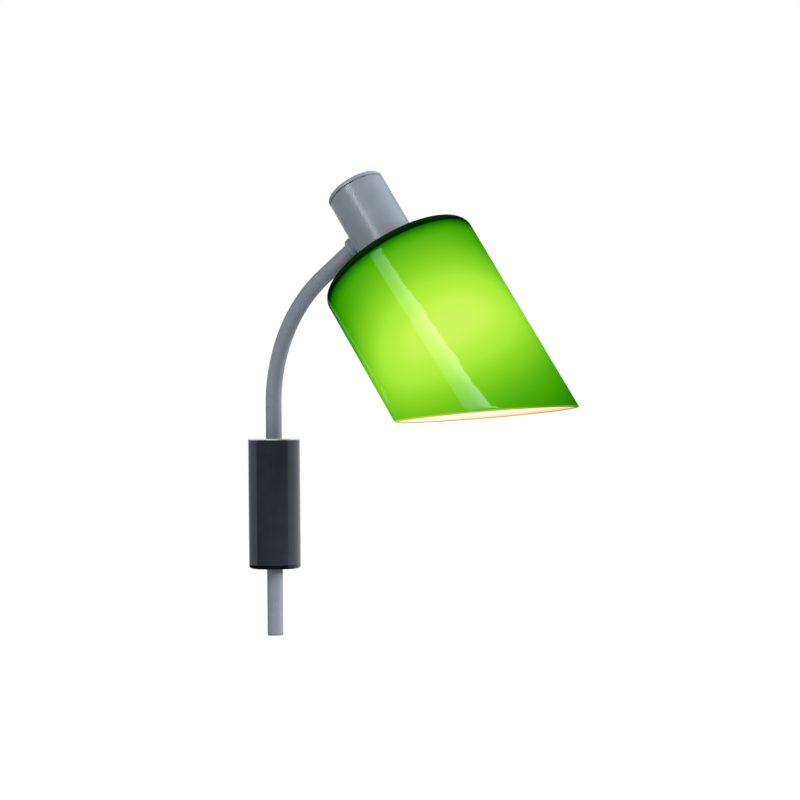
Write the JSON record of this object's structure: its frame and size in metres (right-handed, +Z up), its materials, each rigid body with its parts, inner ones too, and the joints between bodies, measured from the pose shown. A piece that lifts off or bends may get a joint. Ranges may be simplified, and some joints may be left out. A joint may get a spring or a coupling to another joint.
{
  "type": "wall lamp",
  "caption": "Wall lamp: a bent stem slides and turns in a round wall base and carries a swivelling lamp holder with a slant-cut cylindrical glass shade.",
  "frame": {"origin": "middle of the wall plate's back face, where the base meets the wall", "axes": "+X out of the wall into the room, +Z up along the stem, Y along the wall"},
  "size_m": [0.2874, 0.122, 0.3526],
  "materials": {
    "grey_paint": "satin",
    "anthracite_lacquer": "gloss",
    "black_gloss_moulding": "gloss",
    "black_moulding": "matte",
    "grey_moulding": "satin",
    "white_acetal": "satin",
    "black_rubber": "matte",
    "clear_silicone": "satin",
    "mill_aluminium": "satin",
    "zinc_steel": "satin",
    "black_steel": "satin",
    "turned_brass": "satin",
    "nickelled_brass": "gloss",
    "solder": "satin",
    "white_porcelain": "gloss",
    "white_sheath": "satin",
    "brown_insulation": "satin",
    "blue_insulation": "satin",
    "green_insulation": "satin",
    "black_glass": "gloss",
    "green_cased_glass": "gloss",
    "opal_glass": "satin"
  },
  "bodies": {
    "wall_base": {"wall_plate": "zinc_steel", "hook_studs": "zinc_steel", "carrier": "mill_aluminium", "base_cover": "anthracite_lacquer", "top_cap": "anthracite_lacquer", "bottom_cap": "black_gloss_moulding", "top_cap_screws": "black_steel", "bottom_cap_screws": "black_steel"},
    "bushes": {"upper_bush": "white_acetal", "lower_bush": "white_acetal", "upper_grip_ring": "black_rubber", "lower_grip_ring": "black_rubber"},
    "stem": {"stem_tube": "grey_paint", "stop_ring": "zinc_steel", "stop_screw": "black_steel", "cord_gland": "grey_moulding", "arm_lead": "white_sheath", "arm_collar": "grey_paint", "swivel_spigot": "turned_brass", "friction_washer": "white_acetal", "spigot_nut": "zinc_steel"},
    "head": {"head_stop_pin": "zinc_steel", "saddle_washer": "grey_paint", "inner_saddle": "zinc_steel", "housing": "grey_paint", "housing_lid": "grey_paint", "lamp_holder": "white_porcelain", "thread_shell": "nickelled_brass", "centre_contact": "turned_brass", "live_terminal": "turned_brass", "neutral_terminal": "turned_brass", "live_core": "brown_insulation", "neutral_core": "blue_insulation", "earth_core": "green_insulation", "earth_stud": "turned_brass", "earth_nut": "turned_brass", "upper_gasket": "clear_silicone", "lower_gasket": "clear_silicone", "shade_ring": "black_moulding", "bulb_envelope": "opal_glass", "bulb_cap": "nickelled_brass", "bulb_insulator": "black_glass", "bulb_tip": "solder"},
    "shade": {"glass_shade": "green_cased_glass"}
  },
  "joints": [
    {"name": "stem_swing", "type": "hinge", "parent": "wall_base", "child": "bushes", "pos_m": [0.017, 0, 0], "axis": [0, 0, 1], "range_deg": [-60, 60]},
    {"name": "stem_slide", "type": "slide", "parent": "bushes", "child": "stem", "axis": [0, 0, 1], "range_m": [-0.02, 0.03]},
    {"name": "head_swivel", "type": "hinge", "parent": "stem", "child": "head", "pos_m": [0.1183, 0, 0.2091], "axis": [0.8192, 0, 0.5736], "range_deg": [-90, 90]},
    {"name": "shade_turn", "type": "hinge", "parent": "head", "child": "shade", "pos_m": [0.1183, 0, 0.2091], "axis": [-0.5736, 0, 0.8192], "continuous": true}
  ]
}
